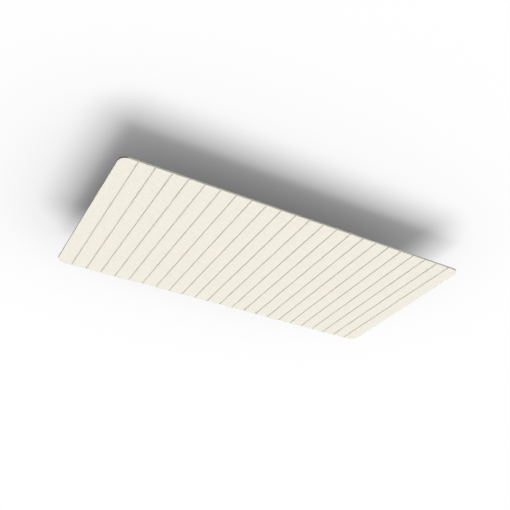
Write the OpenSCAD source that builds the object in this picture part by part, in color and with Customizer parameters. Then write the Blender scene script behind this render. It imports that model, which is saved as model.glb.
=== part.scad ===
// Suspended ceiling tile: a thin flat board with rounded corners, ruled by straight grooves across
// the face that looks down, with four hanger plates bonded to the back that looks up.
// X runs along the tile, Y across it and Z up. The origin is the centre of the grooved face.

/* [Board] */
// Length of the board
board_length = 1200; // [600:10:2400]
// Width of the board
board_width = 600; // [400:10:1200]
// Thickness of the board
board_thickness = 6; // [5:0.5:25]
// Radius of the corners in plan
corner_radius = 25; // [5:1:100]

/* [Grooves] */
// Distance from one groove to the next
groove_pitch = 50; // [20:1:150]
// Width of a groove at the face
groove_width = 5; // [2:0.1:8]
// Width of a groove at its bottom
groove_bottom = 0.8; // [0.3:0.1:1.8]
// Depth of a groove
groove_depth = 3; // [0.5:0.1:4]

/* [Hanger plates] */
// Distance of a hanger's axis from the short end of the board
hanger_end_inset = 225; // [60:1:260]
// Distance of a hanger's axis from the long edge of the board
hanger_side_inset = 125; // [50:1:160]
// Diameter of the plate
plate_diameter = 38; // [30:1:60]
// Thickness of the plate
plate_thickness = 1.5; // [1:0.1:3]
// Number of glue perforations around a plate
perforation_count = 8; // [6:1:12]
// Diameter of a glue perforation
perforation_diameter = 4; // [3:0.1:5.5]
// Outside diameter of the threaded collar
collar_diameter = 10; // [8:0.5:14]
// Height of the collar above the plate
collar_height = 10; // [6:0.5:20]
// Bore of the collar, the tapping size of its thread
collar_bore = 5; // [3.3:0.1:6.5]
// Depth of the chamfer that leads into the thread
lead_in = 0.6; // [0.2:0.1:0.7]
// Leg of the weld around the foot of the collar
weld_leg = 1; // [0.5:0.1:2]

/* [Hidden] */
$fn = 96;

// How far a cutter runs past the face it opens
overcut = 1;

// The whole strips that fit along the board, with a groove between each two
strip_count = round(board_length / groove_pitch);
groove_count = strip_count - 1;

corner_x = board_length / 2 - corner_radius;
corner_y = board_width / 2 - corner_radius;

hanger_x = board_length / 2 - hanger_end_inset;
hanger_y = board_width / 2 - hanger_side_inset;

// The perforations lie midway between the collar and the rim of the plate
perforation_circle = (plate_diameter + collar_diameter) / 2;

// Plan of the board: a rectangle with true arcs at its corners
module board_outline() {
    square([board_length, 2 * corner_y], center = true);
    square([2 * corner_x, board_width], center = true);
    for (x = [-corner_x, corner_x], y = [-corner_y, corner_y]) {
        translate([x, y])
            circle(r = corner_radius);
    }
}

// Cutter for one groove, straight across the board and narrowing towards its bottom
module groove_cutter() {
    half_width = groove_width / 2;
    half_bottom = groove_bottom / 2;
    rotate([90, 0, 0])
        linear_extrude(board_width + 2 * overcut, center = true)
            polygon([
                [-half_width, -overcut],
                [half_width, -overcut],
                [half_width, 0],
                [half_bottom, groove_depth],
                [-half_bottom, groove_depth],
                [-half_width, 0],
            ]);
}

// The board itself, in one piece
module grooved_board() {
    color("#F1EDE1")
        difference() {
            linear_extrude(board_thickness)
                board_outline();
            for (i = [0 : groove_count - 1]) {
                translate([(i - (groove_count - 1) / 2) * groove_pitch, 0, 0])
                    groove_cutter();
            }
        }
}

// One hanger: a perforated round plate with a threaded collar welded to its middle
module hanger_plate() {
    difference() {
        union() {
            cylinder(d = plate_diameter, h = plate_thickness);
            translate([0, 0, plate_thickness])
                cylinder(d = collar_diameter, h = collar_height);
            translate([0, 0, plate_thickness])
                cylinder(d1 = collar_diameter + 2 * weld_leg, d2 = collar_diameter, h = weld_leg);
        }
        translate([0, 0, -overcut])
            cylinder(d = collar_bore, h = plate_thickness + collar_height + 2 * overcut);
        translate([0, 0, plate_thickness + collar_height - lead_in])
            cylinder(d1 = collar_bore, d2 = collar_bore + 4 * lead_in, h = 2 * lead_in);
        for (i = [0 : perforation_count - 1]) {
            rotate([0, 0, i * 360 / perforation_count])
                translate([perforation_circle / 2, 0, -overcut])
                    cylinder(d = perforation_diameter, h = plate_thickness + 2 * overcut);
        }
    }
}

// The four hangers, seated on the back of the board
module hanger_plates() {
    color("#C3C6C8")
        for (x = [-hanger_x, hanger_x], y = [-hanger_y, hanger_y]) {
            translate([x, y, board_thickness])
                hanger_plate();
        }
}

grooved_board();
hanger_plates();
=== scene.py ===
import logging
import math
import random
from abc import ABC, abstractmethod
from dataclasses import dataclass
from enum import Enum
from typing import Any, ClassVar, NamedTuple, Optional, Union

import bmesh
import bpy
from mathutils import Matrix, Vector


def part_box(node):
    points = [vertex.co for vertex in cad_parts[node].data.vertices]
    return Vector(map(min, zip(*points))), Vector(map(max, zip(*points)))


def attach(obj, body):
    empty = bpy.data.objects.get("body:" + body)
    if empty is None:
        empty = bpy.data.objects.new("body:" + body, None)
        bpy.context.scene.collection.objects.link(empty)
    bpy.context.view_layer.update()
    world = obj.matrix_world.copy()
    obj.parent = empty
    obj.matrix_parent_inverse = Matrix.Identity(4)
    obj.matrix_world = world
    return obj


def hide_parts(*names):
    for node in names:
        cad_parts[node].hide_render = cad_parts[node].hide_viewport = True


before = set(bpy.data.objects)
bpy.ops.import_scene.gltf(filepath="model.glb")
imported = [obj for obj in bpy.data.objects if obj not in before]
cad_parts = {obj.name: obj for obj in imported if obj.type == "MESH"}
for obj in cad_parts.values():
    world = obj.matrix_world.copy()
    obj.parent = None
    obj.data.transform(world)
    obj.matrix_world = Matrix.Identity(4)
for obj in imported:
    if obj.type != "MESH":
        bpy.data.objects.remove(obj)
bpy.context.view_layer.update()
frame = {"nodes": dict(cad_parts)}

LOG = logging.getLogger("ceiling_tile")
MM = 0.001
PER_MM = 1000.0
QUARTER_TURN = math.pi / 2
SIDES = (-1, 1)
ROOT_BODY = "root"
HANGER_SEED = 11
PASTE_SEED = 23

# Meshes: the turn in degrees from which an edge shows sharp, the distance within which points are joined,
# and how far a face's area counts in the normals round it
SHARP_TURN = 40.0
JOIN_DISTANCE = 0.0005 * MM
AREA_WEIGHT = 100

# On each long edge of the board, a groove has two lips and the two corners of its bottom
POINTS_PER_GROOVE = 4

# Noise: its middle value, the strength of its finer layers and how many of them there are
NOISE_MIDDLE = 0.5
NOISE_ROUGHNESS = 0.55
NOISE_DETAIL = 2.0
CLOUD_DETAIL = 3.0

# The colour sockets of a Mix node, which share their names with its other sockets
MIX_FACTOR = 0
MIX_FIRST = 6
MIX_SECOND = 7
MIX_RESULT = 2
WHITE = (1.0, 1.0, 1.0)

Colour = tuple[float, float, float]
Point = tuple[float, float]
Lips = tuple[Optional[float], Optional[float]]
Operand = Union["Signal", float]
Inputs = dict[Union[str, int], Any]
Row = list[bmesh.types.BMVert]


class MathOp(Enum):
    """The Math node operations that the finishes use."""

    ADD = "ADD"
    SUBTRACT = "SUBTRACT"
    MULTIPLY = "MULTIPLY"
    DIVIDE = "DIVIDE"
    MAXIMUM = "MAXIMUM"
    ABSOLUTE = "ABSOLUTE"
    SQUARE_ROOT = "SQRT"
    ARCTANGENT = "ARCTANGENT"


class VectorOp(Enum):
    """The Vector Math node operations that the finishes use."""

    MULTIPLY = "MULTIPLY"
    SCALE = "SCALE"
    LENGTH = "LENGTH"


class Output(Enum):
    """The nodes that end a shader tree."""

    MATERIAL = "ShaderNodeOutputMaterial"
    WORLD = "ShaderNodeOutputWorld"


class Axis(Enum):
    """The parts of a vector."""

    X = "X"
    Y = "Y"
    Z = "Z"


class Slot(Enum):
    """The record's material slots."""

    FELT = "felt"
    ZINC_STEEL = "zinc_steel"


class End(Enum):
    """The two ends of the board, by the sign of X."""

    LEFT = -1
    RIGHT = 1


class Facing(Enum):
    """The way a plane of the stage looks, by the sign of Z."""

    UP = 1
    DOWN = -1


class Window(NamedTuple):
    """The two ends of a range in which something eases, changes or is drawn by chance."""

    start: float
    end: float


@dataclass(frozen=True)
class Signal:
    """One output of a shader tree. Arithmetic on it adds Math nodes."""

    tree: "ShaderTree"
    socket: bpy.types.NodeSocket

    def __add__(self, other: Operand) -> "Signal":
        """Sum with another value."""
        return self.tree.maths(MathOp.ADD, self, other)

    def __radd__(self, other: Operand) -> "Signal":
        """Sum with a value on the left."""
        return self.tree.maths(MathOp.ADD, other, self)

    def __sub__(self, other: Operand) -> "Signal":
        """Difference from another value."""
        return self.tree.maths(MathOp.SUBTRACT, self, other)

    def __rsub__(self, other: Operand) -> "Signal":
        """Difference from a value on the left."""
        return self.tree.maths(MathOp.SUBTRACT, other, self)

    def __mul__(self, other: Operand) -> "Signal":
        """Product with another value."""
        return self.tree.maths(MathOp.MULTIPLY, self, other)

    def __rmul__(self, other: Operand) -> "Signal":
        """Product with a value on the left."""
        return self.tree.maths(MathOp.MULTIPLY, other, self)

    def __truediv__(self, other: Operand) -> "Signal":
        """Quotient by another value."""
        return self.tree.maths(MathOp.DIVIDE, self, other)

    def __rtruediv__(self, other: Operand) -> "Signal":
        """Quotient of a value on the left."""
        return self.tree.maths(MathOp.DIVIDE, other, self)

    def __abs__(self) -> "Signal":
        """Value without its sign."""
        return self.tree.maths(MathOp.ABSOLUTE, self)

    def root(self) -> "Signal":
        """Square root of this value."""
        return self.tree.maths(MathOp.SQUARE_ROOT, self)

    def arctan(self) -> "Signal":
        """Angle whose tangent is this value."""
        return self.tree.maths(MathOp.ARCTANGENT, self)

    def across(self, window: Window) -> "Signal":
        """Value that goes from a window's start at 0 to its end at 1."""
        return window.start + (window.end - window.start) * self


class ShaderTree:
    """A tree of shader nodes that is being drawn."""

    def __init__(self, graph: bpy.types.NodeTree) -> None:
        """Starts from an empty tree.

        Args:
            graph: The node tree of a material or of the world.
        """
        self.graph = graph
        graph.nodes.clear()

    def node(
        self,
        kind: str,
        settings: Optional[dict[str, Any]] = None,
        inputs: Optional[Inputs] = None,
        output: Union[str, int] = 0,
    ) -> Signal:
        """Adds one node.

        Args:
            kind: The node's type.
            settings: The node's own properties, which are set first.
            inputs: Values or signals for the node's sockets, by name or place.
            output: The socket to hand back.

        Returns:
            The chosen output of the new node.
        """
        return Signal(self, self._add(kind, settings or {}, inputs or {}).outputs[output])

    def close(self, output: Output, surface: Signal) -> None:
        """Ends the tree with the node that shows a shader."""
        self._add(output.value, {}, {"Surface": surface})

    def maths(self, operation: MathOp, *operands: Operand) -> Signal:
        """Adds a Math node, with its values in order."""
        return self.node("ShaderNodeMath", {"operation": operation.value}, dict(enumerate(operands)))

    def vector(self, operation: VectorOp, inputs: Inputs, output: str = "Vector") -> Signal:
        """Adds a Vector Math node."""
        return self.node("ShaderNodeVectorMath", {"operation": operation.value}, inputs, output)

    def mix(self, factor: Operand, first: Any, second: Any) -> Signal:
        """Mixes two colours, from the first at 0 to the second at 1."""
        inputs = {MIX_FACTOR: factor, MIX_FIRST: first, MIX_SECOND: second}
        return self.node("ShaderNodeMix", {"data_type": "RGBA"}, inputs, MIX_RESULT)

    def ramp(self, value: Signal, window: Window) -> Signal:
        """Eases from 0 where a window starts to 1 where it ends."""
        inputs = {"Value": value, "From Min": window.start, "From Max": window.end}
        return self.node("ShaderNodeMapRange", {"interpolation_type": "SMOOTHSTEP"}, inputs)

    def noise(self, place: Signal, size: float, detail: float = NOISE_DETAIL) -> Signal:
        """Adds soft noise of about 0 to 1, with waves of one size."""
        inputs = {"Vector": place, "Scale": 1 / size, "Detail": detail, "Roughness": NOISE_ROUGHNESS}
        return self.node("ShaderNodeTexNoise", inputs=inputs)

    def streaks(self, place: Signal, sizes: tuple[float, float, float]) -> Signal:
        """Adds soft noise with waves of another size along each axis."""
        squeezed = self.vector(VectorOp.MULTIPLY, {0: place, 1: tuple(1 / size for size in sizes)})
        return self.noise(squeezed, 1.0)

    def part(self, vector: Signal, axis: Axis) -> Signal:
        """One part of a vector."""
        return self.node("ShaderNodeSeparateXYZ", inputs={"Vector": vector}, output=axis.value)

    def place(self) -> Signal:
        """Place on the object, in metres."""
        return self.node("ShaderNodeTexCoord", output="Object")

    def place_mm(self) -> Signal:
        """Place on the object, in millimetres."""
        return self.vector(VectorOp.SCALE, {0: self.place(), "Scale": PER_MM})

    def bump(self, height: Signal, strength: float, reach: float) -> Signal:
        """Turns a height of 0 to 1, which stands for so many metres, into a normal."""
        inputs = {"Strength": strength, "Distance": reach, "Height": height}
        return self.node("ShaderNodeBump", inputs=inputs)

    def _add(self, kind: str, settings: dict[str, Any], inputs: Inputs) -> bpy.types.Node:
        """Adds a node, sets its properties and then feeds its sockets.

        Args:
            kind: The node's type.
            settings: The node's own properties.
            inputs: Values or signals for its sockets, by name or place.

        Returns:
            The new node.
        """
        made = self.graph.nodes.new(kind)
        for name, value in settings.items():
            setattr(made, name, value)
        for key, value in inputs.items():
            self._feed(made.inputs[key], value)
        return made

    def _feed(self, socket: bpy.types.NodeSocket, value: Any) -> None:
        """Links a signal to a socket, or sets the socket's value.

        Args:
            socket: The socket to feed.
            value: A signal, a number, a vector or a colour.
        """
        if isinstance(value, Signal):
            self.graph.links.new(value.socket, socket)
        elif socket.type == "RGBA":
            socket.default_value = (*value, 1.0)
        else:
            socket.default_value = value


class Finish(ABC):
    """The look of a surface, drawn with shader nodes."""

    name: ClassVar[str]

    def material(self) -> bpy.types.Material:
        """Makes the material.

        Returns:
            The finished material.
        """
        material = bpy.data.materials.new(self.name)
        material.use_nodes = True
        tree = ShaderTree(material.node_tree)
        tree.close(Output.MATERIAL, self.surface(tree))
        return material

    @abstractmethod
    def surface(self, tree: ShaderTree) -> Signal:
        """Draws the finish.

        Args:
            tree: The tree to draw in.

        Returns:
            The surface's shader.
        """


@dataclass(frozen=True)
class FeltFinish(Finish):
    """Pressed cream felt: a matt, clouded mat of crossed hairs, darker and in layers where it is cut.

    Sizes and depths are in millimetres, apart from the height of the hairs.
    """

    name: ClassVar[str] = "pressed_felt"
    thickness: float
    pale: Colour = (0.842, 0.814, 0.729)
    deep: Colour = (0.762, 0.730, 0.642)
    light_hair: Colour = (0.90, 0.875, 0.79)
    dark_hair: Colour = (0.60, 0.565, 0.47)
    cut_light: Colour = (0.69, 0.665, 0.59)
    cut_dark: Colour = (0.57, 0.545, 0.475)
    scored: Colour = (0.78, 0.755, 0.67)
    # Colour of the painted shade on the side round the board's rounded corners
    painted_corner_shade: Colour = (0.13, 0.123, 0.109)
    tuft: float = 3.2
    cloud: float = 17.0
    tuft_share: float = 0.45
    ground_window: Window = Window(0.3, 0.7)
    hair_sizes: tuple[float, float, float] = (14.0, 0.9, 0.9)
    hair_window: Window = Window(0.0, 0.07)
    light_angles: tuple[float, ...] = (17.0, 76.0, 131.0)
    light_share: float = 0.5
    dark_angles: tuple[float, ...] = (48.0, 162.0)
    dark_share: float = 0.3
    layer_sizes: tuple[float, float, float] = (40.0, 40.0, 0.45)
    layer_window: Window = Window(0.35, 0.65)
    skin_window: Window = Window(0.1, 0.6)
    score_window: Window = Window(0.2, 0.5)
    score_share: float = 0.3
    # How far round the corners the painted shade reaches and how deep it is, varied by the layers and tufts
    painted_shade_window: Window = Window(0.0, 0.25)
    painted_shade_least: float = 0.5
    painted_shade_by_layer: float = 0.25
    painted_shade_by_tuft: float = 0.35
    roughness: Window = Window(0.98, 0.88)
    hair_relief: float = 0.5
    hair_height: float = 0.15 * MM
    bump_strength: float = 0.5
    specular: float = 0.15
    sheen: float = 0.12
    sheen_roughness: float = 0.6

    def surface(self, tree: ShaderTree) -> Signal:
        """Draws the felt's faces and its cut sides.

        Args:
            tree: The tree to draw in.

        Returns:
            The surface's shader.
        """
        place = tree.place_mm()
        tufts = tree.noise(place, self.tuft)
        clouds = tree.noise(place, self.cloud, CLOUD_DETAIL)
        ground = tree.ramp(self.tuft_share * tufts + (1 - self.tuft_share) * clouds, self.ground_window)
        light = self._hairs(tree, place, self.light_angles)
        dark = self._hairs(tree, place, self.dark_angles)
        layers = tree.ramp(tree.streaks(place, self.layer_sizes), self.layer_window)
        inside = self._inside(tree, place)

        face = tree.mix(self.light_share * light, tree.mix(ground, self.deep, self.pale), self.light_hair)
        face = tree.mix(self.dark_share * dark, face, self.dark_hair)
        mat_relief = self.hair_relief * light + (1 - self.hair_relief) * tufts
        relief = mat_relief * (1 - inside) + layers * inside
        return tree.node(
            "ShaderNodeBsdfPrincipled",
            inputs={
                "Base Color": tree.mix(inside, face, self._cut(tree, layers, tufts)),
                "Roughness": ground.across(self.roughness),
                "Normal": tree.bump(relief, self.bump_strength, self.hair_height),
                "Specular IOR Level": self.specular,
                "Sheen Weight": self.sheen,
                "Sheen Roughness": self.sheen_roughness,
                "Sheen Tint": self.pale,
            },
        )

    def _inside(self, tree: ShaderTree, place: Signal) -> Signal:
        """Tells the cut felt inside the board from the mat on its two faces.

        Args:
            tree: The tree to draw in.
            place: Place on the board, in millimetres.

        Returns:
            0 on both faces to 1 below their skin.
        """
        middle = self.thickness / 2
        depth = middle - abs(tree.part(place, Axis.Z) - middle)
        return tree.ramp(depth, self.skin_window)

    def _cut(self, tree: ShaderTree, layers: Signal, tufts: Signal) -> Signal:
        """Colours the cut felt: in layers, paler on a groove's slopes, and darkened with painted shade on
        the side round the corners.

        Args:
            tree: The tree to draw in.
            layers: The felt's layers, 0 to 1.
            tufts: The felt's tufts, 0 to 1.

        Returns:
            The colour.
        """
        normal = tree.node("ShaderNodeNewGeometry", output="Normal")
        along, across, up = (tree.part(normal, axis) for axis in Axis)
        cut = tree.mix(layers, self.cut_dark, self.cut_light)
        cut = tree.mix(self.score_share * tree.ramp(abs(up), self.score_window), cut, self.scored)
        # Painted shade: the side is darkened where its normal points between the X and Y axes, round the
        # corners; the layers and tufts only vary its depth
        painted_shade_depth = self.painted_shade_least + self.painted_shade_by_layer * layers + self.painted_shade_by_tuft * tufts
        return tree.mix(tree.ramp(abs(along * across), self.painted_shade_window) * painted_shade_depth, cut, self.painted_corner_shade)

    def _hairs(self, tree: ShaderTree, place: Signal, angles: tuple[float, ...]) -> Signal:
        """Lays thin hairs over each other at several angles.

        Args:
            tree: The tree to draw in.
            place: Place on the board, in millimetres.
            angles: Directions of the hairs, in degrees.

        Returns:
            0 between the hairs to 1 on them.
        """
        bare: Operand = 1.0
        for angle in angles:
            turn_inputs = {"Vector": place, "Angle": math.radians(angle)}
            turned = tree.node("ShaderNodeVectorRotate", {"rotation_type": "Z_AXIS"}, turn_inputs)
            off_hair = abs(tree.streaks(turned, self.hair_sizes) - NOISE_MIDDLE)
            bare = bare * tree.ramp(off_hair, self.hair_window)
        return 1 - bare


@dataclass(frozen=True)
class ZincFinish(Finish):
    """Zinc-plated steel: pale, faintly crystalline, with rougher patches from handling.

    Sizes are in millimetres, apart from the height of the grain.
    """

    name: ClassVar[str] = "zinc_plated_steel"
    bright: Colour = (0.70, 0.71, 0.72)
    dull: Colour = (0.52, 0.53, 0.55)
    crystal: float = 1.6
    crystal_share: float = 0.45
    smear: float = 9.0
    smear_window: Window = Window(0.35, 0.7)
    grain: float = 1 / 6
    grain_height: float = 0.02 * MM
    bump_strength: float = 0.3
    metallic: float = 1.0
    roughness: Window = Window(0.5, 0.3)

    def surface(self, tree: ShaderTree) -> Signal:
        """Draws the plating.

        Args:
            tree: The tree to draw in.

        Returns:
            The surface's shader.
        """
        place = tree.place_mm()
        crystal_inputs = {"Vector": place, "Scale": 1 / self.crystal}
        crystals = tree.node("ShaderNodeTexVoronoi", inputs=crystal_inputs, output="Color")
        smears = tree.ramp(tree.noise(place, self.smear, CLOUD_DETAIL), self.smear_window)
        tone = self.crystal_share * tree.part(crystals, Axis.X) + (1 - self.crystal_share) * smears
        return tree.node(
            "ShaderNodeBsdfPrincipled",
            inputs={
                "Base Color": tree.mix(tone, self.dull, self.bright),
                "Metallic": self.metallic,
                "Roughness": tone.across(self.roughness),
                "Normal": tree.bump(tree.noise(place, self.grain), self.bump_strength, self.grain_height),
            },
        )


@dataclass(frozen=True)
class PasteFinish(Finish):
    """Set bonding paste: off-white, slightly clouded and half glossy.

    Sizes are in millimetres, apart from the height of the skin.
    """

    name: ClassVar[str] = "bonding_paste"
    pale: Colour = (0.74, 0.73, 0.69)
    clouded: Colour = (0.60, 0.59, 0.54)
    cloud: float = 2.2
    cloud_window: Window = Window(0.35, 0.7)
    skin: float = 0.625
    skin_height: float = 0.05 * MM
    bump_strength: float = 0.4
    roughness: Window = Window(0.34, 0.54)

    def surface(self, tree: ShaderTree) -> Signal:
        """Draws the paste.

        Args:
            tree: The tree to draw in.

        Returns:
            The surface's shader.
        """
        place = tree.place_mm()
        clouds = tree.ramp(tree.noise(place, self.cloud, CLOUD_DETAIL), self.cloud_window)
        skin = tree.noise(place, self.skin, CLOUD_DETAIL)
        return tree.node(
            "ShaderNodeBsdfPrincipled",
            inputs={
                "Base Color": tree.mix(clouds, self.pale, self.clouded),
                "Roughness": clouds.across(self.roughness),
                "Normal": tree.bump(skin, self.bump_strength, self.skin_height),
            },
        )


@dataclass(frozen=True)
class FloorFinish(Finish):
    """A plain matt paint for the floor, which melts into the backdrop far away. Its fade is in metres."""

    name: ClassVar[str] = "pale_floor"
    colour: Colour = (0.70, 0.70, 0.69)
    fade: Window = Window(3.0, 20.0)

    def surface(self, tree: ShaderTree) -> Signal:
        """Draws the paint.

        Args:
            tree: The tree to draw in.

        Returns:
            The surface's shader.
        """
        away = tree.vector(VectorOp.LENGTH, {0: tree.place()}, "Value")
        faded = tree.ramp(away, self.fade)
        paint = tree.node("ShaderNodeBsdfDiffuse", inputs={"Color": self.colour})
        backdrop = tree.node("ShaderNodeEmission", inputs={"Color": WHITE})
        return tree.node("ShaderNodeMixShader", inputs={0: faded, 1: paint, 2: backdrop})


@dataclass(frozen=True)
class Shade:
    """One part of the tile's shade on the ceiling: how far it is moved, how soft and how deep it is."""

    shift: Point
    softness: float
    strength: float


@dataclass(frozen=True)
class CeilingFinish(Finish):
    """The evenly lit ceiling over the tile, with the tile's soft shade on it.

    The wide part and the part close to the tile's edge are shares of the light from all round that the
    tile hides: the form factor of a rectangle on a plane below, in closed form. The main light's part is
    a rounded rectangle with eased edges. The ceiling shows from below alone, so that the tile's back
    stays in sight from above.
    """

    name: ClassVar[str] = "lit_ceiling"
    half_length: float
    half_width: float
    wide: Shade = Shade((-81 * MM, -14 * MM), 217 * MM, 0.395)
    edge: Shade = Shade((-12 * MM, -33 * MM), 25 * MM, 0.155)
    main: Shade = Shade((-75 * MM, -118 * MM), 98 * MM, 0.405)
    main_trim: float = 18 * MM
    main_round: float = 85 * MM

    def surface(self, tree: ShaderTree) -> Signal:
        """Draws the lit ceiling and the shade.

        Args:
            tree: The tree to draw in.

        Returns:
            The surface's shader.
        """
        place = tree.place()
        x = tree.part(place, Axis.X)
        y = tree.part(place, Axis.Y)
        level = 1 - self._hidden(self.wide, x, y) - self._hidden(self.edge, x, y) - self._blocked(tree, x, y)
        colour = tree.node("ShaderNodeCombineColor", inputs={"Red": level, "Green": level, "Blue": level})
        lit = tree.node("ShaderNodeEmission", inputs={"Color": colour})
        clear = tree.node("ShaderNodeBsdfTransparent")
        from_above = tree.node("ShaderNodeNewGeometry", output="Backfacing")
        return tree.node("ShaderNodeMixShader", inputs={0: from_above, 1: lit, 2: clear})

    def _hidden(self, shade: Shade, x: Signal, y: Signal) -> Signal:
        """Light from all round that the tile hides.

        Args:
            shade: The part to draw.
            x: Place along the tile.
            y: Place across the tile.

        Returns:
            The depth of the shade.
        """
        along, across = shade.shift
        left, right = (along + side * self.half_length - x for side in SIDES)
        near, far = (across + side * self.half_width - y for side in SIDES)
        ends = self._corner(right, far, shade.softness) - self._corner(left, far, shade.softness)
        starts = self._corner(right, near, shade.softness) - self._corner(left, near, shade.softness)
        return shade.strength * (ends - starts)

    @staticmethod
    def _corner(along: Signal, across: Signal, softness: float) -> Signal:
        """One corner's term of the rectangle's form factor.

        Args:
            along: Distance to the corner along the tile.
            across: Distance to the corner across the tile.
            softness: Distance of the rectangle's plane.

        Returns:
            The term.
        """
        square = softness**2
        reach_x = (along * along + square).root()
        reach_y = (across * across + square).root()
        turn = along / reach_x * (across / reach_x).arctan() + across / reach_y * (along / reach_y).arctan()
        return turn / math.tau

    def _blocked(self, tree: ShaderTree, x: Signal, y: Signal) -> Signal:
        """Main light that the tile blocks.

        Args:
            tree: The tree to draw in.
            x: Place along the tile.
            y: Place across the tile.

        Returns:
            The depth of the shade.
        """
        over = []
        for place, middle, half in zip((x, y), self.main.shift, (self.half_length, self.half_width)):
            reach = half - self.main_trim - self.main_round
            over.append(tree.maths(MathOp.MAXIMUM, abs(place - middle) - reach, 0.0))
        away = (over[0] * over[0] + over[1] * over[1]).root()
        softness = self.main.softness
        clear = tree.ramp(away, Window(self.main_round - softness, self.main_round + softness))
        return self.main.strength * (1 - clear)


def add_object(name: str, mesh: bpy.types.Mesh, finish: Finish) -> bpy.types.Object:
    """Puts a mesh into the scene and dresses it.

    Args:
        name: The object's name.
        mesh: Its mesh, in the part's own frame.
        finish: Its one finish.

    Returns:
        The new object.
    """
    mesh.materials.append(finish.material())
    made = bpy.data.objects.new(name, mesh)
    bpy.context.scene.collection.objects.link(made)
    return made


def mesh_from(shape: bmesh.types.BMesh, name: str) -> bpy.types.Mesh:
    """Turns a built shape into a mesh that is smooth but for its sharp edges.

    Args:
        shape: The shape, which is used up.
        name: The mesh's name.

    Returns:
        The mesh.
    """
    bmesh.ops.recalc_face_normals(shape, faces=shape.faces)
    mesh = bpy.data.meshes.new(name)
    shape.to_mesh(mesh)
    shape.free()
    mesh.shade_smooth()
    mesh.set_sharp_from_angle(angle=math.radians(SHARP_TURN))
    return mesh


def keep_flats_flat(piece: bpy.types.Object) -> None:
    """Weights a piece's normals by face area, so that its large faces stay flat beside their soft edges.

    Args:
        piece: The piece.
    """
    weighted = piece.modifiers.new("flat_faces", "WEIGHTED_NORMAL")
    weighted.mode = "FACE_AREA"
    weighted.weight = AREA_WEIGHT
    weighted.keep_sharp = True


def bridge(shape: bmesh.types.BMesh, first: Row, second: Row, closed: bool) -> None:
    """Joins two rows of points with quads.

    Args:
        shape: The shape to add to.
        first: One row.
        second: The other row, with as many points.
        closed: Whether the rows go round.
    """
    count = len(first)
    for i in range(count if closed else count - 1):
        j = (i + 1) % count
        shape.faces.new((first[i], first[j], second[j], second[i]))


def quarter_turns(steps: int) -> list[float]:
    """Angles from 0 to a quarter turn, in equal steps."""
    return [QUARTER_TURN * i / steps for i in range(steps + 1)]


def rounded_edge(radius: float, steps: int) -> list[Point]:
    """Inset and depth of the points of an edge that is rounded from a flat face out to an upright one."""
    turns = quarter_turns(steps)
    return [(radius * (1 - math.sin(turn)), radius * (1 - math.cos(turn))) for turn in turns]


def turned_rows(shape: bmesh.types.BMesh, centre: Vector, profile: list[Point], steps: int) -> list[Row]:
    """Turns a profile about an upright axis.

    Args:
        shape: The shape to add to.
        centre: A point on the axis, from which heights count.
        profile: Radius and height of each row.
        steps: Faces round the axis.

    Returns:
        One row of points for each point of the profile, joined in order.
    """
    angles = [math.tau * i / steps for i in range(steps)]
    rows = [
        [shape.verts.new(centre + Vector((r * math.cos(a), r * math.sin(a), z))) for a in angles]
        for r, z in profile
    ]
    for first, second in zip(rows, rows[1:]):
        bridge(shape, first, second, closed=True)
    return rows


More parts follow.
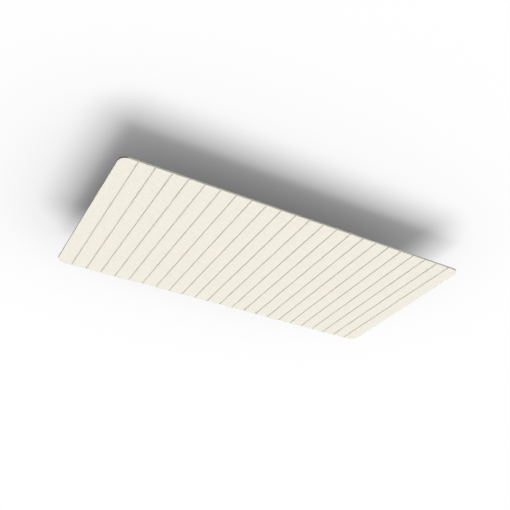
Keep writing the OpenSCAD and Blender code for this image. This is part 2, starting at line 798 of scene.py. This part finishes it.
@dataclass
class GroovedBoard:
    """The felt board: a thin slab with round corners and grooves across the face that looks down."""

    low: Vector
    high: Vector
    corner_radius: float = 25 * MM
    groove_pitch: float = 50 * MM
    groove_width: float = 5 * MM
    groove_bottom: float = 0.8 * MM
    groove_depth: float = 3 * MM
    edge_radius: float = 0.3 * MM
    edge_steps: int = 4
    corner_steps: int = 16

    def build(self, finish: FeltFinish) -> bpy.types.Object:
        """Models the board and dresses it.

        Args:
            finish: The felt.

        Returns:
            The board.
        """
        shape = bmesh.new()
        near, right, far, left = self._grooved_face(shape)
        self._back(shape, near + right + far[::-1] + left[::-1], [vert.co.x for vert in near])
        board = add_object("felt_board", mesh_from(shape, "felt_board"), finish)
        keep_flats_flat(board)
        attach(board, ROOT_BODY)
        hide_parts("grooved_board")
        return board

    def _grooved_face(self, shape: bmesh.types.BMesh) -> tuple[Row, Row, Row, Row]:
        """Adds the strips of the face and the grooves between them.

        Args:
            shape: The shape to add to.

        Returns:
            The points where the side of the board begins: along the near edge, round the right end,
            along the far edge and round the left end.
        """
        strips = [self._strip(shape, lips) for lips in self._strips()]
        near = [strips[0][0]]
        far = [strips[0][-1]]
        bottom = self.low.z + self.groove_depth
        for groove, ring in zip(self._grooves(), strips[1:]):
            for row, y in ((near, self.low.y), (far, self.high.y)):
                for side in SIDES:
                    row.append(shape.verts.new((groove + side * self.groove_bottom / 2, y, bottom)))
            last = ring is strips[-1]
            near += ring[:1] if last else ring[:2]
            far += ring[-1:] if last else ring[:1:-1]
        for start in range(0, len(near), POINTS_PER_GROOVE):
            groove_points = slice(start, start + POINTS_PER_GROOVE)
            bridge(shape, near[groove_points], far[groove_points], closed=False)
        return near, strips[-1][1:-1], far, strips[0][1:-1]

    def _back(self, shape: bmesh.types.BMesh, side: Row, columns: list[float]) -> None:
        """Adds the side and the plain back of the board.

        Args:
            shape: The shape to add to.
            side: The points where the side begins, all the way round.
            columns: Places along the board of the points on its long edges.
        """
        below = side
        for inset, depth in reversed(rounded_edge(self.edge_radius, self.edge_steps)):
            edge = self.high.y - inset
            right = self._end(End.RIGHT, inset)
            left = self._end(End.LEFT, inset)
            plan = [(x, -edge) for x in columns] + right
            plan += [(x, edge) for x in reversed(columns)] + left[::-1]
            ring = [shape.verts.new((x, y, self.high.z - depth)) for x, y in plan]
            bridge(shape, below, ring, closed=True)
            below = ring
        near_end = len(columns)
        far_start = near_end + len(right)
        far_end = far_start + len(columns)
        near = below[:near_end]
        far = below[far_start:far_end][::-1]
        bridge(shape, near, far, closed=False)
        shape.faces.new([near[-1], *below[near_end:far_start], far[-1]])
        shape.faces.new([far[0], *below[far_end:], near[0]])

    def _grooves(self) -> list[float]:
        """Place of each groove along the board."""
        strips = round((self.high.x - self.low.x) / self.groove_pitch)
        return [(i - strips / 2) * self.groove_pitch for i in range(1, strips)]

    def _strips(self) -> list[Lips]:
        """Works out where the strips between the grooves lie.

        Returns:
            Left and right lip of each strip, with none at the ends of the board.
        """
        half = self.groove_width / 2
        lefts = [None, *(groove + half for groove in self._grooves())]
        rights = [*(groove - half for groove in self._grooves()), None]
        return list(zip(lefts, rights))

    def _strip(self, shape: bmesh.types.BMesh, lips: Lips) -> Row:
        """Adds one strip of the face with its rounded edges.

        Args:
            shape: The shape to add to.
            lips: Places of its left and right lip.

        Returns:
            Its outermost points, from the near left round to the far left. At an end of the board
            they go from the near lip round the end to the far lip.
        """
        rings = []
        for inset, depth in rounded_edge(self.edge_radius, self.edge_steps):
            plan = self._strip_plan(lips, inset)
            rings.append([shape.verts.new((x, y, self.low.z + depth)) for x, y in plan])
        shape.faces.new(rings[0])
        for first, second in zip(rings, rings[1:]):
            bridge(shape, first, second, closed=True)
        return rings[-1]

    def _strip_plan(self, lips: Lips, inset: float) -> list[Point]:
        """Outline of one strip in plan.

        Args:
            lips: Places of its left and right lip.
            inset: How far the outline is pulled in.

        Returns:
            The outline's points.
        """
        left, right = lips
        y = self.high.y - inset
        if left is None:
            return [(right - inset, -y), *self._end(End.LEFT, inset), (right - inset, y)]
        if right is None:
            return [(left + inset, -y), *self._end(End.RIGHT, inset), (left + inset, y)]
        return [(left + inset, -y), (right - inset, -y), (right - inset, y), (left + inset, y)]

    def _end(self, end: End, inset: float) -> list[Point]:
        """Outline of one end of the board in plan, round its two corners.

        Args:
            end: The end to draw.
            inset: How far the outline is pulled in.

        Returns:
            The outline's points, from the near edge to the far edge.
        """
        x = self.high.x - self.corner_radius
        y = self.high.y - self.corner_radius
        radius = self.corner_radius - inset
        turns = quarter_turns(self.corner_steps)
        arc = [(end.value * (x + radius * math.sin(turn)), -y - radius * math.cos(turn)) for turn in turns]
        return arc + [(px, -py) for px, py in reversed(arc)]


@dataclass
class HangerPlates:
    """The four zinc-plated hangers on the board's back: a perforated plate with a welded threaded collar.

    The plate and the weld reach into the collar by its tuck. The weld's root, least size, crest and swell
    are shares of its leg, and its lean is one of a ripple.
    """

    low: Vector
    high: Vector
    plate_radius: float = 19 * MM
    plate_thickness: float = 1.5 * MM
    plate_edge: float = 0.25 * MM
    perforations: int = 8
    perforation_radius: float = 2 * MM
    perforation_circle: float = 12 * MM
    collar_radius: float = 5 * MM
    collar_chamfer: float = 0.4 * MM
    collar_tuck: float = 0.4 * MM
    bore_radius: float = 2.5 * MM
    lead_in: float = 0.6 * MM
    thread_depth: float = 0.5 * MM
    thread_pitch: float = 1 * MM
    thread_slope: float = 1.6
    thread_flat: float = 0.3
    weld_leg: float = 1 * MM
    weld_ripples: int = 30
    weld_root: float = 0.2
    weld_least: float = 0.92
    weld_crest: float = 0.14
    weld_swell: float = 0.06
    weld_lean: float = 0.35
    edge_steps: int = 3
    sector_steps: int = 8
    collar_steps: int = 48
    thread_rows: int = 10
    weld_steps: int = 180
    weld_arcs: int = 6

    def build(self, finish: ZincFinish) -> bpy.types.Object:
        """Models the hangers and dresses them.

        Args:
            finish: The zinc plating.

        Returns:
            The hangers, as one piece.
        """
        shape = bmesh.new()
        chance = random.Random(HANGER_SEED)
        for seat in self.seats():
            self._plate(shape, seat)
            self._collar(shape, seat)
            self._weld(shape, seat, chance)
        plates = add_object("hanger_plates_zinc", mesh_from(shape, "hanger_plates_zinc"), finish)
        keep_flats_flat(plates)
        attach(plates, ROOT_BODY)
        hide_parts("hanger_plates")
        return plates

    def seats(self) -> list[Vector]:
        """Works out where the hangers stand.

        Returns:
            Middle of the underside of each plate.
        """
        x = self.high.x - self.plate_radius
        y = self.high.y - self.plate_radius
        return [Vector((side_x * x, side_y * y, self.low.z)) for side_x in SIDES for side_y in SIDES]

    def perforation_places(self) -> list[Vector]:
        """Middle of each perforation, from the middle of the plate."""
        turns = [i * (math.tau / self.perforations) for i in range(self.perforations)]
        return [Vector((math.cos(turn), math.sin(turn), 0)) * self.perforation_circle for turn in turns]

    def _plate(self, shape: bmesh.types.BMesh, seat: Vector) -> None:
        """Adds a round plate with its perforations, in sectors of one perforation each.

        Args:
            shape: The shape to add to.
            seat: Middle of its underside.
        """
        made: Row = []
        edge = rounded_edge(self.plate_edge, self.edge_steps)
        rise = [(inset, self.plate_thickness - depth) for inset, depth in edge]
        rise += [(inset, depth) for inset, depth in reversed(edge)]
        # The collar's side comes first in a sector's border, and the rim third
        inner = slice(0, self.sector_steps + 1)
        outer = slice(self.sector_steps * 2, self.sector_steps * 3 + 1)
        for hole in self.perforation_places():
            border = self._sector(hole)
            ways = [(point - hole).normalized() for point in border]
            rims = [self._rim(border, inset) for inset, _ in rise]
            holes = [[hole + way * (self.perforation_radius + inset) for way in ways] for inset, _ in rise]
            # Over the top from the border to the perforation, down through it and back underneath
            rows = [
                [shape.verts.new(seat + point + Vector((0, 0, z))) for point in row]
                for row, (_, z) in zip(rims[:1] + holes + rims[-1:], rise[:1] + rise + rise[-1:])
            ]
            for first, second in zip(rows, rows[1:]):
                bridge(shape, first, second, closed=True)
            walls = [
                [shape.verts.new(seat + point + Vector((0, 0, z))) for point in row[outer]]
                for row, (_, z) in zip(rims, rise)
            ]
            for first, second in zip(walls, walls[1:]):
                bridge(shape, first, second, closed=False)
            bridge(shape, rows[0][inner], rows[-1][inner], closed=False)
            for row in rows + walls:
                made += row
        bmesh.ops.remove_doubles(shape, verts=made, dist=JOIN_DISTANCE)

    def _sector(self, hole: Vector) -> list[Vector]:
        """Border of one sector of a plate.

        Args:
            hole: Middle of its perforation.

        Returns:
            Points along the inner arc, out along one side, back along the rim and in along the other side.
        """
        middle = math.atan2(hole.y, hole.x)
        half = math.pi / self.perforations
        inside = self.collar_radius - self.collar_tuck
        shares = [i / self.sector_steps for i in range(self.sector_steps)]
        polar = [(inside, half - 2 * half * share) for share in shares]
        polar += [(inside + (self.plate_radius - inside) * share, -half) for share in shares]
        polar += [(self.plate_radius, -half + 2 * half * share) for share in shares]
        polar += [(self.plate_radius - (self.plate_radius - inside) * share, half) for share in shares]
        return [Vector((r * math.cos(middle + a), r * math.sin(middle + a), 0)) for r, a in polar]

    def _rim(self, border: list[Vector], inset: float) -> list[Vector]:
        """Pulls the rim of a sector's border in."""
        reach = self.plate_radius - inset
        return [point * (reach / point.length) if point.length > reach else point for point in border]

    def _collar(self, shape: bmesh.types.BMesh, seat: Vector) -> None:
        """Adds a collar with a chamfered top and a thread inside.

        Args:
            shape: The shape to add to.
            seat: Middle of the plate's underside.
        """
        top = self.high.z - self.low.z
        count = round((top - self.lead_in) / self.thread_pitch * self.thread_rows)
        outside = [
            (self.bore_radius, 0.0),
            (self.collar_radius, 0.0),
            (self.collar_radius, self.plate_thickness),
            (self.collar_radius, top - self.collar_chamfer),
            (self.collar_radius - self.collar_chamfer, top),
            (self.bore_radius + self.lead_in, top),
        ]
        levels = [(top - self.lead_in) * (1 - i / count) for i in range(count + 1)]
        rows = turned_rows(shape, seat, outside + [(self.bore_radius, z) for z in levels], self.collar_steps)
        for z, row in zip(levels, rows[len(outside) :]):
            for i, vert in enumerate(row):
                reach = self.bore_radius + self.thread_depth * self._thread(z, i / self.collar_steps)
                away = (vert.co - seat).xy.normalized() * reach
                vert.co.x = seat.x + away.x
                vert.co.y = seat.y + away.y
        # The profile's first row joins its last, where the thread ends on the underside
        for low, high in zip(rows[0], rows[-1]):
            low.co = high.co
        bmesh.ops.remove_doubles(shape, verts=rows[0] + rows[-1], dist=JOIN_DISTANCE)

    def _thread(self, height: float, turn: float) -> float:
        """Depth of the thread in the bore, 0 on a crest to 1 in a root, with flats on both."""
        phase = (height / self.thread_pitch - turn) % 1.0
        return min(max(self.thread_slope * abs(2 * phase - 1) - self.thread_flat, 0.0), 1.0)

    def _weld(self, shape: bmesh.types.BMesh, seat: Vector, chance: random.Random) -> None:
        """Adds the rippled weld round the foot of a collar.

        Args:
            shape: The shape to add to.
            seat: Middle of the plate's underside.
            chance: Source of the ripples' unevenness.
        """
        start = chance.random() * math.tau
        swell = [chance.uniform(-self.weld_swell, self.weld_swell) for _ in range(self.weld_ripples + 1)]
        rows = []
        for i in range(self.weld_steps):
            around = i / self.weld_steps
            angle = start + math.tau * around
            row = []
            for r, z in self._weld_section(around, swell):
                point = Vector((r * math.cos(angle), r * math.sin(angle), self.plate_thickness + z))
                row.append(shape.verts.new(seat + point))
            rows.append(row)
        for first, second in zip(rows, rows[1:] + rows[:1]):
            bridge(shape, first, second, closed=True)

    def _weld_section(self, around: float, swell: list[float]) -> list[Point]:
        """Section of the weld at one place round the collar.

        Args:
            around: Share of a turn round the collar.
            swell: How much each ripple is larger or smaller than the others.

        Returns:
            Radius and height above the plate of each of its points, all the way round.
        """
        inside = self.collar_radius - self.collar_tuck
        root = -self.weld_root * self.weld_leg
        bow = []
        for arc in quarter_turns(self.weld_arcs):
            ripple = (self.weld_ripples * around + self.weld_lean * math.sin(2 * arc)) % self.weld_ripples
            crest = abs(math.sin(math.pi * ripple))
            leg = self.weld_leg * (self.weld_least + self.weld_crest * crest + swell[int(ripple)] * crest)
            bow.append((self.collar_radius + leg * math.cos(arc), leg * math.sin(arc)))
        foot, _ = bow[0]
        _, head = bow[-1]
        return [(inside, root), (foot, root), *bow, (inside, head)]


@dataclass
class BondingPaste:
    """The paste that bonds the hangers: a bead round each plate and a button in each perforation."""

    hangers: HangerPlates
    bead_tuck: float = 0.6 * MM
    bead_reach: float = 1.1 * MM
    bead_height: float = 0.9 * MM
    bead_waves: tuple[int, ...] = (2, 3, 5, 8, 13)
    wave_share: Window = Window(0.04, 0.16)
    button_spread: float = 0.7 * MM
    spread_share: Window = Window(0.5, 1.1)
    button_height: float = 0.75 * MM
    height_share: Window = Window(0.6, 1.1)
    button_lean: float = 0.3 * MM
    bead_steps: int = 144
    bead_arcs: int = 8
    button_steps: int = 24
    button_arcs: int = 6

    def build(self, finish: PasteFinish) -> bpy.types.Object:
        """Models the paste and dresses it.

        Args:
            finish: The set paste.

        Returns:
            The paste under all hangers, as one piece.
        """
        shape = bmesh.new()
        chance = random.Random(PASTE_SEED)
        for seat in self.hangers.seats():
            self._bead(shape, seat, chance)
            for hole in self.hangers.perforation_places():
                self._button(shape, seat + hole, chance)
        paste = add_object("bonding_paste", mesh_from(shape, "bonding_paste"), finish)
        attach(paste, ROOT_BODY)
        return paste

    def _bead(self, shape: bmesh.types.BMesh, seat: Vector, chance: random.Random) -> None:
        """Adds the bead that was squeezed out round a plate.

        Args:
            shape: The shape to add to.
            seat: Middle of the plate's underside.
            chance: Source of its unevenness.
        """
        waves = [
            (count, chance.uniform(*self.wave_share), chance.random() * math.tau)
            for count in self.bead_waves
        ]
        inside = self.hangers.plate_radius - self.bead_tuck
        arcs = [math.pi * i / self.bead_arcs for i in range(self.bead_arcs + 1)]
        rows = []
        for i in range(self.bead_steps):
            angle = math.tau * i / self.bead_steps
            out = Vector((math.cos(angle), math.sin(angle), 0))
            size = 1 + sum(share * math.sin(count * angle + phase) for count, share, phase in waves)
            middle = (inside + self.hangers.plate_radius + self.bead_reach * size) / 2
            half = middle - inside
            row = []
            for arc in arcs:
                rise = Vector((0, 0, self.bead_height * size * math.sin(arc)))
                row.append(shape.verts.new(seat + out * (middle - half * math.cos(arc)) + rise))
            rows.append(row)
        for first, second in zip(rows, rows[1:] + rows[:1]):
            bridge(shape, first, second, closed=True)

    def _button(self, shape: bmesh.types.BMesh, foot: Vector, chance: random.Random) -> None:
        """Adds the button of paste that has risen through one perforation.

        Args:
            shape: The shape to add to.
            foot: Middle of the perforation on the board's back.
            chance: Source of its unevenness.
        """
        stem = self.hangers.perforation_radius
        top = self.hangers.plate_thickness
        reach = stem + self.button_spread * chance.uniform(*self.spread_share)
        height = self.button_height * chance.uniform(*self.height_share)
        lean_x = chance.uniform(-self.button_lean, self.button_lean)
        lean_y = chance.uniform(-self.button_lean, self.button_lean)
        arcs = quarter_turns(self.button_arcs)[:-1]
        upright = [(stem, 0.0), (stem, top - self.hangers.plate_edge)]
        dome = [(reach * math.cos(arc), top + height * math.sin(arc)) for arc in arcs]
        rows = turned_rows(shape, foot, upright + dome, self.button_steps)
        leaning = rows[len(upright) + 1 :]
        for step, row in enumerate(leaning, 1):
            for vert in row:
                vert.co += Vector((lean_x, lean_y, 0)) * (step / len(leaning))
        shape.faces.new(rows[0])
        shape.faces.new(rows[-1])


@dataclass(frozen=True)
class SoftLight:
    """A wide, distant and even soft light, which metal doesn't mirror. Its spread is in degrees."""

    name: str
    comes_from: tuple[float, float, float]
    strength: float
    spread: float = 50.0

    def build(self) -> bpy.types.Object:
        """Adds the light.

        Returns:
            The light.
        """
        data = bpy.data.lights.new(self.name, "SUN")
        data.energy = self.strength
        data.angle = math.radians(self.spread)
        light = bpy.data.objects.new(self.name, data)
        light.rotation_euler = Vector(self.comes_from).to_track_quat("Z", "Y").to_euler()
        light.visible_glossy = False
        bpy.context.scene.collection.objects.link(light)
        return light


@dataclass(frozen=True)
class PhotoCamera:
    """The photograph's camera: below the tile, beside one corner and looking up.

    Its heading counts from the X axis and its climb from the level, both in degrees. Its lens and sensor
    are in millimetres.
    """

    name: str = "photo_camera"
    place: tuple[float, float, float] = (-0.9967, -1.7306, -1.2459)
    heading: float = 60.553
    climb: float = 32.870
    lens: float = 50.0
    sensor: float = 36.0

    def build(self) -> bpy.types.Object:
        """Adds the camera and makes it the scene's.

        Returns:
            The camera.
        """
        data = bpy.data.cameras.new(self.name)
        data.lens = self.lens
        data.sensor_width = self.sensor
        camera = bpy.data.objects.new(self.name, data)
        camera.location = self.place
        # Without a turn, a camera looks straight down with its top towards Y
        tilt = QUARTER_TURN + math.radians(self.climb)
        pan = math.radians(self.heading) - QUARTER_TURN
        camera.rotation_euler = (tilt, 0, pan)
        bpy.context.scene.collection.objects.link(camera)
        bpy.context.scene.camera = camera
        return camera


@dataclass
class Stage:
    """What surrounds the tile: a pale floor, a lit ceiling, soft light and the camera.

    The glow lights the tile from all round, and the gleam is what metal mirrors. Both grow from below to
    above, between two heights on a sphere of radius 1.
    """

    board: GroovedBoard
    floor_level: float = -2.3
    floor_reach: float = 30.0
    ceiling_level: float = 95 * MM
    ceiling_reach: float = 25.0
    glow: Window = Window(0.12, 0.34)
    glow_heights: Window = Window(-0.3, 0.3)
    gleam: Window = Window(0.16, 1.25)
    gleam_heights: Window = Window(-0.2, 0.85)
    lights: tuple[SoftLight, ...] = (
        SoftLight("light_below", comes_from=(0.2, -0.36, -0.95), strength=3.42),
        SoftLight("light_above", comes_from=(0.35, 0.5, 1.0), strength=2.6),
    )

    def build(self) -> None:
        """Builds the whole stage."""
        self._view()
        self._world()
        self._floor()
        self._ceiling()
        for light in self.lights:
            light.build()
        PhotoCamera().build()

    @staticmethod
    def _view() -> None:
        """Shows colours as they are."""
        settings = bpy.context.scene.view_settings
        settings.view_transform = "Standard"
        settings.look = "None"

    def _world(self) -> None:
        """Lights the scene evenly and faintly, with a white backdrop behind it."""
        world = bpy.data.worlds.new("studio")
        world.use_nodes = True
        bpy.context.scene.world = world
        tree = ShaderTree(world.node_tree)
        seen = tree.node("ShaderNodeLightPath", output="Is Camera Ray")
        mirrored = tree.node("ShaderNodeLightPath", output="Is Glossy Ray")
        height = tree.part(tree.node("ShaderNodeTexCoord", output="Generated"), Axis.Z)
        glow = tree.ramp(height, self.glow_heights).across(self.glow)
        gleam = tree.ramp(height, self.gleam_heights).across(self.gleam)
        strength = glow + (1 - glow) * seen + (gleam - glow) * mirrored
        light = tree.node("ShaderNodeBackground", inputs={"Color": WHITE, "Strength": strength})
        tree.close(Output.WORLD, light)

    def _floor(self) -> None:
        """Lays the floor well below the tile."""
        floor = self._plane("floor", self.floor_reach, self.floor_level, Facing.UP, FloorFinish())
        floor.visible_diffuse = False
        floor.visible_shadow = False

    def _ceiling(self) -> None:
        """Hangs the lit ceiling over the tile, seen from below alone."""
        finish = CeilingFinish(self.board.high.x, self.board.high.y)
        ceiling = self._plane("ceiling", self.ceiling_reach, self.ceiling_level, Facing.DOWN, finish)
        ceiling.visible_diffuse = False
        ceiling.visible_glossy = False
        ceiling.visible_transmission = False
        ceiling.visible_shadow = False

    @staticmethod
    def _plane(name: str, reach: float, level: float, facing: Facing, finish: Finish) -> bpy.types.Object:
        """Adds a square plane of the stage.

        Args:
            name: Its name.
            reach: Half its side.
            level: Its height.
            facing: The way it looks.
            finish: Its finish.

        Returns:
            The plane.
        """
        shape = bmesh.new()
        corners = [(-1, -1), (1, -1), (1, 1), (-1, 1)]
        shape.faces.new([shape.verts.new((x * reach, y * reach * facing.value, level)) for x, y in corners])
        mesh = bpy.data.meshes.new(name)
        shape.to_mesh(mesh)
        shape.free()
        plane = add_object(name, mesh, finish)
        return plane


def corners_of(node: str) -> tuple[Vector, Vector]:
    """Lowest and highest corner of a node's solids."""
    low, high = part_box(node)
    return Vector(low), Vector(high)


def write_sizes() -> None:
    """Brings the view layer up to date."""
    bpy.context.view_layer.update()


def main() -> None:
    """Builds the tile's pieces and its stage in order, and reports each piece."""
    logging.basicConfig(level=logging.INFO, format="%(message)s")
    LOG.info("solids: %s", ", ".join(frame["nodes"]))
    board = GroovedBoard(*corners_of("grooved_board"))
    hangers = HangerPlates(*corners_of("hanger_plates"))
    paste = BondingPaste(hangers)
    felt = FeltFinish(PER_MM * (board.high.z - board.low.z))
    for piece in (board.build(felt), hangers.build(ZincFinish()), paste.build(PasteFinish())):
        LOG.info("%s: %d faces", piece.name, len(piece.data.polygons))
    Stage(board).build()
    write_sizes()


if __name__ == "__main__":
    main()
